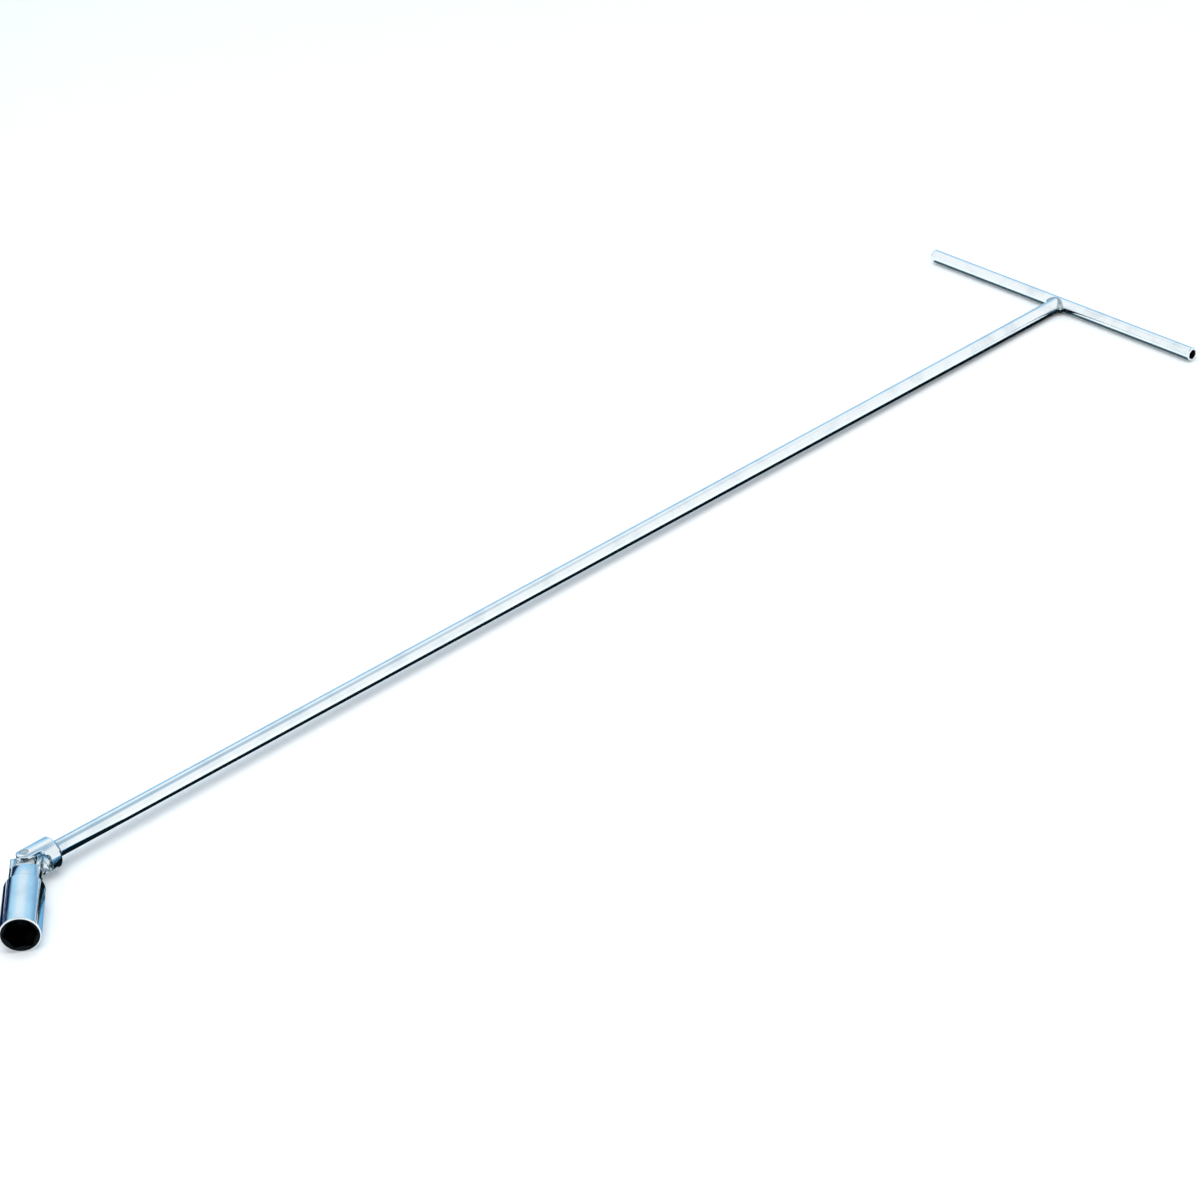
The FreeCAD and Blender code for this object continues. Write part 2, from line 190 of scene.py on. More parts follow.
def subdivided(outline: np.ndarray, longest: float | np.ndarray) -> np.ndarray:
    """The closed outline with extra points, so that no run is too long.

    Args:
        outline: one row (along, out) for each point.
        longest: the longest run allowed, for all runs or for the run after each point.

    Returns:
        The outline with its extra points.
    """
    following = np.roll(outline, -1, axis=0)
    counts = np.maximum(1, np.ceil(np.linalg.norm(following - outline, axis=1) / longest)).astype(int)
    owner = np.repeat(np.arange(len(outline)), counts)
    step = np.arange(len(owner)) - np.repeat(np.cumsum(counts) - counts, counts)
    share = (step / counts[owner])[:, None]
    return outline[owner] * (1 - share) + following[owner] * share


def in_scene(name: str, data: bpy.types.ID) -> Object:
    """A new object with that data, in the scene."""
    made = bpy.data.objects.new(name, data)
    bpy.context.scene.collection.objects.link(made)
    return made


@dataclass
class Shell:
    """A surface of rings, each a closed row of points, joined into one closed shell.

    Args:
        rings: array (rings, points, 3).
        poles: the two points that close the first and the last ring, or none where those two rings meet.
        edge: how much of a rubbed edge each point is, 0 to 1.
        inside: how much of a bore's wall each point is, 0 to 1.
    """

    rings: np.ndarray
    poles: np.ndarray | None = None
    edge: np.ndarray | None = None
    inside: np.ndarray | None = None

    def points(self) -> np.ndarray:
        """Every point of the shell, ring after ring, with the poles last."""
        flat = self.rings.reshape(-1, 3)
        return flat if self.poles is None else np.concatenate([flat, self.poles])

    def faces(self) -> list:
        """Quads between neighbouring rings and triangles round each pole, turned to face outwards.

        Returns:
            A list of point numbers for each face.
        """
        count, around = self.rings.shape[:2]
        last = count if self.poles is None else count - 1
        ring = np.arange(last)[:, None]
        here = np.arange(around)[None, :]
        there = (here + 1) % around
        above = (ring + 1) % count
        low, high = ring * around, above * around
        quads = np.stack([low + here, low + there, high + there, high + here], 2).reshape(-1, 4)
        fans = np.zeros((0, 3), int)
        if self.poles is not None:
            first_pole, last_pole = count * around, count * around + 1
            line, beside = here[0], there[0]
            top = (count - 1) * around
            fans = np.concatenate(
                [
                    np.stack([np.full(around, first_pole), beside, line], 1),
                    np.stack([np.full(around, last_pole), top + line, top + beside], 1),
                ]
            )
        if self.volume(quads, fans) < 0:
            quads, fans = quads[:, ::-1], fans[:, ::-1]
        return quads.tolist() + fans.tolist()

    def volume(self, quads: np.ndarray, fans: np.ndarray) -> float:
        """Signed volume inside the faces: a sixth of the sum of each triangle's triple product.

        Args:
            quads: four point numbers for each quad.
            fans: three point numbers for each triangle.

        Returns:
            The volume, negative where the faces look inwards.
        """
        points = self.points()
        triangles = np.concatenate([quads[:, [0, 1, 2]], quads[:, [0, 2, 3]], fans])
        a, b, c = (points[triangles[:, corner]] for corner in range(3))
        return float(np.sum(a * np.cross(b, c))) / 6

    def attribute(self, values: np.ndarray | None) -> np.ndarray:
        """One number for each point.

        Args:
            values: one number for each ring, one for each grid point, or nothing.

        Returns:
            The numbers, with zeros for nothing.
        """
        count, around = self.rings.shape[:2]
        if values is None:
            return np.zeros(len(self.points()))
        grid = np.broadcast_to(values if values.ndim == 2 else values[:, None], (count, around)).ravel()
        return grid if self.poles is None else np.concatenate([grid, [grid[0], grid[-1]]])


def drill_bit(outline: np.ndarray, around: int, place: float) -> Shell:
    """A drill along the Z axis: the outline carried round it, at that place on the X axis."""
    rings = turned(outline, around)[..., [1, 2, 0]] + (place, 0, 0)
    return Shell(rings, np.array([[place, 0, outline[0, 0]], [place, 0, outline[-1, 0]]]))


def angles(count: int) -> np.ndarray:
    """That many even angles once round, from 0."""
    return np.arange(count) / count * FULL_TURN


def carried(along: np.ndarray, out: np.ndarray, angle: np.ndarray) -> np.ndarray:
    """Array (rings, points, 3) of points round the X axis: (along, out cos a, out sin a) at the angle a."""
    return np.stack(np.broadcast_arrays(along, out * np.cos(angle), out * np.sin(angle)), axis=2)


def turned(outline: np.ndarray, around: int) -> np.ndarray:
    """Rings of an outline, one row (along, out) for each, carried once round the X axis."""
    return carried(outline[:, :1], outline[:, 1:], angles(around))


def closeness(values: np.ndarray, places: list, reach: float) -> np.ndarray:
    """How near each value is to any of the places: (1 - distance / reach) squared, and 0 beyond the reach."""
    distance = np.min(np.abs(values[..., None] - np.array(places)), axis=-1)
    return np.clip(1 - distance / reach, 0, 1) ** 2


def rubbed(outline: np.ndarray, radius: float, ends: list) -> np.ndarray:
    """How rubbed each ring of a half section is: 1 at the outer edge of either end, less within the width."""
    rim = np.clip((outline[:, 1] - radius + RUBBED_WIDTH) / RUBBED_WIDTH, 0, 1)
    return rim * closeness(outline[:, 0], ends, RUBBED_WIDTH)


def slow_waves(along: np.ndarray, seed: int, longest: float, octaves: int = 4) -> np.ndarray:
    """Sum of sines of halving wavelength and height, with seeded phases, about 1 high.

    Args:
        along: where the waves are wanted.
        seed: seed of the phases.
        longest: the longest wavelength.
        octaves: how many sines.

    Returns:
        The waves' height at each place.
    """
    phases = np.random.default_rng(seed).uniform(0, FULL_TURN, octaves)
    orders = 2.0 ** np.arange(octaves)
    return np.sum(np.sin(along[..., None] / longest * FULL_TURN * orders + phases) / orders, axis=-1) / 2


# Finishes


def linear(colour: str) -> tuple:
    """An sRGB hex colour as linear red, green, blue and alpha.

    Args:
        colour: six hex digits.

    Returns:
        The four linear parts.
    """
    parts = np.array([int(colour[at : at + 2], 16) for at in (0, 2, 4)]) / 255
    straight = np.where(parts <= 0.04045, parts / 12.92, ((parts + 0.055) / 1.055) ** 2.4)
    return (*straight.tolist(), 1.0)


def add_node(
    tree: NodeTree, kind: str, settings: dict | None = None, links: dict | None = None
) -> bpy.types.Node:
    """Adds a node with its settings and links.

    Args:
        tree: the node tree.
        kind: the node's type.
        settings: properties by name, and input sockets' values by name or number.
        links: output sockets by the name or number of the input that each one feeds.

    Returns:
        The new node.
    """
    node = tree.nodes.new(kind)
    for name, setting in (settings or {}).items():
        if isinstance(name, str) and hasattr(node, name):
            setattr(node, name, setting)
        else:
            node.inputs[name].default_value = setting
    for name, source in (links or {}).items():
        tree.links.new(source, node.inputs[name])
    return node


class Lay(Enum):
    """Which way a surface's fine lines run: how finely the pattern repeats along each of the group's axes."""

    DRAWN = (1 / 90, 1.0, 1.0)
    TURNED = (1.0, 1 / 12, 1 / 12)
    GROUND = (1 / 14, 1.0, 1 / 3)
    CAST = (1.0, 1.0, 1.0)


@dataclass(frozen=True)
class Plating:
    """Bright nickel and chrome plate over steel.

    The eye sees a near mirror with a cold tint: faint lines from the tool under the plate, a soft ripple in
    the plate itself, cloudy patches where hands have been, and a duller, warmer nickel at rubbed edges.

    Args:
        name: the material's name.
        lay: which way the tool's lines run.
        plate: colour of the plate.
        clouded: its colour where it is cloudy.
        nickel: colour where the plate is rubbed thin.
        bore: colour inside bores, where the plate doesn't reach.
        pit: colour of the small pits in a bore.
        line_spacing: distance between tool lines, in mm. Real lines are near 0.05 mm; these are as coarse as
            they need to be to show.
        line_depth: how deep they are, in mm.
        ripple_size: size of the plate's soft ripple, in mm.
        ripple_depth: how deep it is, in mm.
        cloud_size: size of the cloudy patches, in mm.
        grit_size: size of the rubbed and pitted spots, in mm. Real pits are near 0.05 mm.
        gloss: roughness of clean plate.
        haze: roughness where it is cloudy.
        line_gloss: roughness that the tool lines lead to.
        worn_gloss: roughness of rubbed nickel.
        bore_gloss: roughness inside bores.
    """

    name: str
    lay: Lay
    plate: str = "ECF3F6"
    clouded: str = "DCE6EC"
    nickel: str = "C9C6BC"
    bore: str = "15191A"
    pit: str = "2C2E2A"
    line_spacing: float = 0.30
    line_depth: float = 0.0024
    ripple_size: float = 2.5
    ripple_depth: float = 0.0040
    cloud_size: float = 16.0
    grit_size: float = 0.35
    gloss: float = 0.055
    haze: float = 0.17
    line_gloss: float = 0.10
    worn_gloss: float = 0.34
    bore_gloss: float = 0.48

    def material(self) -> Material:
        """Builds the node material.

        Returns:
            The material.
        """
        made = bpy.data.materials.new(self.name)
        made.use_nodes = True
        tree = made.node_tree
        tree.nodes.clear()
        place = add_node(tree, "ShaderNodeAttribute", {"attribute_name": "group_place"}).outputs["Vector"]
        edge = add_node(tree, "ShaderNodeAttribute", {"attribute_name": "edge"}).outputs["Fac"]
        inside = add_node(tree, "ShaderNodeAttribute", {"attribute_name": "inside"}).outputs["Fac"]

        lines = self.noise(tree, place, self.line_spacing, self.lay, detail=2.0)
        ripple = self.noise(tree, place, self.ripple_size, Lay.CAST, detail=1.0)
        cloud = self.noise(tree, place, self.cloud_size, Lay.CAST, detail=4.0)
        grit = self.noise(tree, place, self.grit_size, Lay.CAST, detail=3.0)

        smear = self.ramp(tree, cloud, 0.42, 0.72)
        worn = self.product(tree, edge, self.ramp(tree, grit, 0.40, 0.62))
        pitted = self.ramp(tree, grit, 0.66, 0.80)
        bare = self.mixed(tree, pitted, linear(self.bore), linear(self.pit))
        colour = self.mixed(tree, smear, linear(self.plate), linear(self.clouded))
        colour = self.mixed(tree, worn, colour, linear(self.nickel))
        colour = self.mixed(tree, inside, colour, bare)

        rough = self.blended(tree, smear, self.gloss, self.haze)
        rough = self.blended(tree, lines, rough, self.line_gloss, share=0.35)
        rough = self.blended(tree, worn, rough, self.worn_gloss)
        rough = self.blended(tree, inside, rough, self.bore_gloss)

        depth = {"Distance": self.ripple_depth * MM, "Strength": 1.0}
        soft = add_node(tree, "ShaderNodeBump", depth, {"Height": ripple})
        sockets = {"Height": lines, "Normal": soft.outputs[0]}
        fine = add_node(tree, "ShaderNodeBump", {"Distance": self.line_depth * MM, "Strength": 1.0}, sockets)
        sockets = {"Base Color": colour, "Roughness": rough, "Normal": fine.outputs[0]}
        shader = add_node(tree, "ShaderNodeBsdfPrincipled", {"Metallic": 1.0}, sockets)
        add_node(tree, "ShaderNodeOutputMaterial", {}, {"Surface": shader.outputs[0]})
        return made

    @staticmethod
    def noise(tree: NodeTree, place: NodeSocket, size: float, lay: Lay, detail: float) -> NodeSocket:
        """Noise whose grains are that many mm across, drawn out along the lay.

        Args:
            tree: the node tree.
            place: the point, in metres.
            size: the grain's size in mm.
            lay: which way the grains are drawn out.
            detail: octaves.

        Returns:
            The noise's value socket.
        """
        scale = tuple(share / (size * MM) for share in lay.value)
        settings = {"vector_type": "POINT", "Scale": scale}
        drawn = add_node(tree, "ShaderNodeMapping", settings, {"Vector": place}).outputs[0]
        settings = {"Scale": 1.0, "Detail": detail}
        return add_node(tree, "ShaderNodeTexNoise", settings, {"Vector": drawn}).outputs[0]

    @staticmethod
    def product(tree: NodeTree, first: NodeSocket, second: NodeSocket) -> NodeSocket:
        """One socket's number times another's."""
        return add_node(tree, "ShaderNodeMath", {"operation": "MULTIPLY"}, {0: first, 1: second}).outputs[0]

    @staticmethod
    def ramp(tree: NodeTree, source: NodeSocket, low: float, high: float) -> NodeSocket:
        """0 at the low value and 1 at the high one, smooth between them."""
        settings = {"From Min": low, "From Max": high, "interpolation_type": "SMOOTHSTEP"}
        return add_node(tree, "ShaderNodeMapRange", settings, {"Value": source}).outputs[0]

    @staticmethod
    def mixed(
        tree: NodeTree, share: NodeSocket, first: tuple | NodeSocket, second: tuple | NodeSocket
    ) -> NodeSocket:
        """A colour between two colours or colour sockets.

        Args:
            tree: the node tree.
            share: how much of the second.
            first: a colour or a socket.
            second: a colour or a socket.

        Returns:
            The mixed colour's socket.
        """
        colours = {6: first, 7: second}
        sockets = {at: item for at, item in colours.items() if isinstance(item, NodeSocket)}
        fixed = {at: item for at, item in colours.items() if at not in sockets}
        node = add_node(tree, "ShaderNodeMix", {"data_type": "RGBA", **fixed}, {0: share, **sockets})
        return node.outputs[2]

    @staticmethod
    def blended(
        tree: NodeTree, amount: NodeSocket, first: float | NodeSocket, second: float, share: float = 1.0
    ) -> NodeSocket:
        """A number that goes from first to second as the amount goes from 0 to its share.

        Args:
            tree: the node tree.
            amount: the socket that drives it.
            first: a number or a socket.
            second: the number at the far end.
            share: how much of the way it goes.

        Returns:
            The number's socket.
        """
        scaled = add_node(tree, "ShaderNodeMath", {"operation": "MULTIPLY", 1: share}, {0: amount}).outputs[0]
        given = isinstance(first, NodeSocket)
        node = add_node(
            tree,
            "ShaderNodeMix",
            {"data_type": "FLOAT", 3: second, **({} if given else {2: first})},
            {0: scaled, **({2: first} if given else {})},
        )
        return node.outputs[0]


DRAWN_ROD = Plating("chrome_plate_on_drawn_rod", Lay.DRAWN, line_spacing=0.35)
DRAWN_TUBE = Plating("chrome_plate_on_drawn_tube", Lay.DRAWN, line_spacing=0.45, gloss=0.07)
TURNED_SOCKET = Plating("chrome_plate_on_turned_socket", Lay.TURNED, line_spacing=0.28, haze=0.20)
MACHINED_FORK = Plating(
    "chrome_plate_on_machined_forging", Lay.CAST, line_spacing=0.8, gloss=0.08, ripple_depth=0.008
)
# A weld stays rough under its plate and looks greyer than the drawn steel beside it; its grey plate colour is
# also painted shade of the corners that the beads fill, at the handle tube and at the fork.
PLATED_WELD_WITH_PAINTED_SHADE = Plating(
    "chrome_plate_over_weld_with_painted_shade",
    Lay.CAST,
    plate="AEBAC1",
    clouded="8E9CA5",
    line_spacing=0.6,
    ripple_depth=0.016,
    gloss=0.12,
    haze=0.30,
)
# The cube and the pins are ground steel without plate: greyer and duller, with deeper lines.
GROUND_BLOCK = Plating(
    "ground_steel_block",
    Lay.GROUND,
    plate="DDE1E2",
    clouded="C6CBCD",
    nickel="A9A49A",
    line_depth=0.0048,
    gloss=0.16,
    haze=0.30,
)
GROUND_PIN = Plating(
    "ground_steel_pin",
    Lay.TURNED,
    plate="C3C8CA",
    clouded="ABB0B3",
    nickel="9A958B",
    line_depth=0.0048,
    gloss=0.18,
    haze=0.32,
)


# Making pieces


@dataclass
class Maker:
    """Turns shells and machined copies into dressed pieces that ride on their bodies.

    Args:
        materials: the materials made so far, by name.
    """

    materials: dict = field(default_factory=dict)

    def dress(self, piece: Object, axes: Axes, finish: Plating) -> None:
        """Gives the piece its finish, and each point its place in the group's axes for the finish to follow.

        Args:
            piece: the object.
            axes: the group's axes.
            finish: the finish.
        """
        mesh = piece.data
        if finish.name not in self.materials:
            self.materials[finish.name] = finish.material()
        mesh.materials.clear()
        mesh.materials.append(self.materials[finish.name])
        points = np.zeros(len(mesh.vertices) * 3, np.float32)
        mesh.vertices.foreach_get("co", points)
        places = axes.to_group(points.reshape(-1, 3).astype(float))
        attribute = mesh.attributes.new("group_place", "FLOAT_VECTOR", "POINT")
        attribute.data.foreach_set("vector", places.astype(np.float32).ravel())

    def settle(self, piece: Object, node: str) -> Object:
        """Lets the piece stand for its node: it rides on the node's body, and the node is hidden.

        Args:
            piece: the finished object.
            node: the node of the frame that it replaces.

        Returns:
            The piece.
        """
        body = frame["nodes"][node]["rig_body"]
        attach(piece, body)
        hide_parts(node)
        log.info("%s stands for %s on %s: %d faces", piece.name, node, body, len(piece.data.polygons))
        return piece

    def shell_piece(
        self, name: str, node: str, shell: Shell, axes: Axes, finish: Plating, cutters: tuple = ()
    ) -> Object:
        """A piece from a shell in its group's axes, drilled by any cutters.

        Args:
            name: the piece's name.
            node: the node that it replaces.
            shell: its surface, in metres.
            axes: the group's axes.
            finish: its finish.
            cutters: shells that are taken out of it.

        Returns:
            The finished piece.
        """
        piece = self.raw_object(name, shell, axes)
        for number, cutter in enumerate(cutters):
            self.drill(piece, self.raw_object(f"{name}_cutter_{number}", cutter, axes))
        self.dress(piece, axes, finish)
        return self.settle(piece, node)

    def raw_object(self, name: str, shell: Shell, axes: Axes) -> Object:
        """An object with the shell's mesh, smooth, with its edge and inside attributes.

        Args:
            name: the object's name.
            shell: the surface, in the group's axes.
            axes: the group's axes.

        Returns:
            The object, at the origin.
        """
        mesh = bpy.data.meshes.new(name)
        mesh.from_pydata(axes.to_row(shell.points()).tolist(), [], shell.faces())
        for label, values in (("edge", shell.edge), ("inside", shell.inside)):
            attribute = mesh.attributes.new(label, "FLOAT", "POINT")
            attribute.data.foreach_set("value", shell.attribute(values).astype(np.float32))
        mesh.shade_smooth()
        return in_scene(name, mesh)

    def drill(self, piece: Object, cutter: Object) -> None:
        """Cuts one object out of another and keeps the hole's edge crisp.

        Args:
            piece: the object to cut.
            cutter: the object that is taken away, and removed afterwards.
        """
        cut = piece.modifiers.new("hole", "BOOLEAN")
        cut.operation = "DIFFERENCE"
        cut.solver = "EXACT"
        cut.object = cutter
        self.bake_modifiers(piece)
        piece.data.set_sharp_from_angle(angle=math.radians(40))
        bpy.data.objects.remove(cutter)

    def bake_modifiers(self, piece: Object) -> None:
        """Replaces an object's mesh by what its modifiers make of it.

        Args:
            piece: the object, which keeps no modifier.
        """
        evaluated = piece.evaluated_get(bpy.context.evaluated_depsgraph_get())
        made = bpy.data.meshes.new_from_object(evaluated)
        piece.modifiers.clear()
        piece.data = made

    def machined_copy(self, name: str, node: str, axes: Axes, finish: Plating, edge: float) -> Object:
        """A copy of a machined part with its sharp edges broken by a small rounded bevel.

        Args:
            name: the piece's name.
            node: the node that it copies and replaces.
            axes: the group's axes.
            finish: its finish.
            edge: width of the broken edges, in mm.

        Returns:
            The finished piece.
        """
        mesh = bpy.data.meshes.new(name)
        merged = bmesh.new()
        merged.from_mesh(frame["nodes"][node].data)
        bmesh.ops.remove_doubles(merged, verts=merged.verts, dist=0.002 * MM)
        merged.to_mesh(mesh)
        merged.free()
        piece = in_scene(name, mesh)
        mesh.materials.clear()
        for rank in ("face", "edge"):
            mesh.materials.append(bpy.data.materials.new(f"{name}_{rank}"))
        bevel = piece.modifiers.new("broken_edges", "BEVEL")
        bevel.width = edge * MM
        bevel.segments = 3
        bevel.limit_method = "ANGLE"
        bevel.angle_limit = math.radians(32)
        bevel.material = 1
        self.bake_modifiers(piece)
        self.mark_edges(piece.data)
        piece.data.shade_smooth()
        piece.data.set_sharp_from_angle(angle=math.radians(28))
        self.dress(piece, axes, finish)
        return self.settle(piece, node)

    @staticmethod
    def mark_edges(mesh: Mesh) -> None:
        """Turns the bevel's faces, which carry the second material, into the edge attribute.

        Args:
            mesh: the bevelled mesh.
        """
        rank = np.zeros(len(mesh.polygons), np.int32)
        mesh.polygons.foreach_get("material_index", rank)
        mesh.polygons.foreach_set("material_index", np.zeros_like(rank))
        attribute = mesh.attributes.new("edge", "FLOAT", "FACE")
        attribute.data.foreach_set("value", rank.astype(np.float32))
        mesh.attributes.new("inside", "FLOAT", "POINT")


# Sub-assemblies


@dataclass
class Pin:
    """A round pin along its X axis whose ends are set with a hammer: a flat crown and a dimple.

    Args:
        radius: the pin's radius.
        half: half its length.
        drop: how far the crown falls at its rim, as a share of the radius.
        dimple: depth of the dimple, as a share of the radius.
        spread: width of the dimple, as a share of the radius.
    """

    radius: float
    half: float
    drop: float = 0.18
    dimple: float = 0.10
    spread: float = 0.28

    def shell(self) -> Shell:
        """The pin's surface.

        The half section runs from the middle of one end, up its shallow dimple and over a crown that is
        rounded into the side, and back at the other end. At the share s of the radius an end lies at
        half - drop (1 - sqrt(1 - s^6)) - dimple exp(-(s / spread)^2).

        Returns:
            The shell, poles closed.
        """
        share = np.linspace(0.04, 1, 18)
        crown = self.half - self.drop * self.radius * (1 - np.sqrt(np.clip(1 - share**6, 0, 1)))
        dimple = self.dimple * self.radius * np.exp(-((share / self.spread) ** 2))
        end = np.stack([crown - dimple, share * self.radius], axis=1)
        side = np.stack([np.linspace(0.95, -0.95, 9) * self.half, np.full(9, self.radius)], axis=1)
        outline = np.concatenate([end, side, end[::-1] * (-1, 1)])
        centre = self.half - self.dimple * self.radius
        rim = np.clip(5 * outline[:, 1] / self.radius - 4, 0, 1)
        edge = rim * closeness(outline[:, 0], [-self.half, self.half], 0.5 * self.radius)
        return Shell(turned(outline, 64), np.array([[centre, 0, 0], [-centre, 0, 0]]), edge=edge)


@dataclass
class WeldRing:
    """A bead laid in the corner between the rod and the back of its fork.

    Args:
        rod: the rod's radius.
        leg: width of the bead on the rod and on the fork.
        start: where the corner lies along the rod.
        pitch: distance between the ripples.
        around: points along the bead.
        section: points round its section.
    """

    rod: float
    leg: float
    start: float
    pitch: float = 1.15 * MM
    around: int = 288
    section: int = 28

    def shell(self) -> Shell:
        """The bead's surface.

        A half-round section stands in the corner, its centre just inside the rod and the fork. Its radius
        swells with the absolute sine of half the ripple's phase, which leans with the section's height, and a
        slow wave makes the bead wander. Where the run closes on itself the bead is a little fuller.

        Returns:
            The shell, closed both ways.
        """
        angle, turn = np.meshgrid(angles(self.around), angles(self.section), indexing="ij")
        count = round(FULL_TURN * (self.rod + self.leg / 2) / self.pitch)
        lean = 0.55 * np.cos(turn)
        ripple = 1 + 0.055 * np.abs(np.sin((count * angle + lean * 2) / 2)) - 0.03
        wander = 1 + 0.05 * np.sin(3 * angle + 0.7) + 0.03 * np.sin(5 * angle)
        overlap = 1 + 0.10 * np.exp(-(((angle - math.pi) / 0.25) ** 2))
        size = 0.93 * self.leg * ripple * wander * overlap
        along = self.start - 0.1 * self.leg + size * np.cos(turn)
        out = self.rod - 0.1 * self.leg + size * 0.95 * np.sin(turn)
        edge = 0.25 * (ripple - ripple.min()) / np.ptp(ripple)
        return Shell(carried(along, out, angle), edge=edge)


@dataclass
class HandleWeld:
    """The bead that joins the end of the rod to the handle tube.

    Args:
        rod: the rod's radius.
        bar: the tube's radius.
        reach: distance from the joint's centre to the tube's axis.
        height: how far the bead stands above and below the rod's axis.
        leg: radius of its section beside the rod.
        pitch: distance between the ripples.
        around: points along the bead.
        section: points round its section.
    """

    rod: float
    bar: float
    reach: float
    height: float
    leg: float = 2.5 * MM
    pitch: float = 1.3 * MM
    around: int = 240
    section: int = 28

    def shell(self) -> Shell:
        """The bead's surface.

        Its centreline is the curve where the rod's side meets the tube: at the angle a round the rod it lies
        at (-sqrt(bar squared - z squared), rod cos a, z) with z = 0.9 bar sin a. Round it goes an oval
        section, full at the rod's two sides and thin above and below, whose size ripples once a pitch.

        Returns:
            The shell, closed both ways.
        """
        around, turn = angles(self.around), angles(self.section)[None, :]
        level = 0.9 * self.bar * np.sin(around)
        line = np.stack(
            [-np.sqrt(self.bar**2 - level**2), (self.rod + 0.2 * MM) * np.cos(around), level], axis=1
        )
        ahead = unit(np.roll(line, -1, axis=0) - np.roll(line, 1, axis=0))
        backward = np.stack([-0.8 * np.abs(line[:, 1]), 0 * around, 0 * around], axis=1)
        outward = unit(line * (0, 1, 1) + backward)
        outward = unit(outward - ahead * np.sum(outward * ahead, axis=1, keepdims=True))
        across = np.cross(ahead, outward)
        length = np.cumsum(np.linalg.norm(np.roll(line, -1, axis=0) - line, axis=1))
        count = round(length[-1] / self.pitch)
        phase = length / length[-1] * FULL_TURN * count
        ripple = 1 + 0.07 * np.abs(np.sin((phase[:, None] + 1.1 * np.cos(turn)) / 2))
        side = np.cos(around)[:, None] ** 2
        free = self.height - 0.9 * self.bar
        size = (free * 0.88 * (1 - side) + self.leg * side) * ripple
        rings = (
            line[:, None]
            + outward[:, None] * (size * np.cos(turn))[..., None]
            + across[:, None] * (size * 1.15 * np.sin(turn))[..., None]
        )
        rings = rings + (self.reach, 0, 0)
        return Shell(rings, edge=0.25 * (ripple - 1) / 0.07)


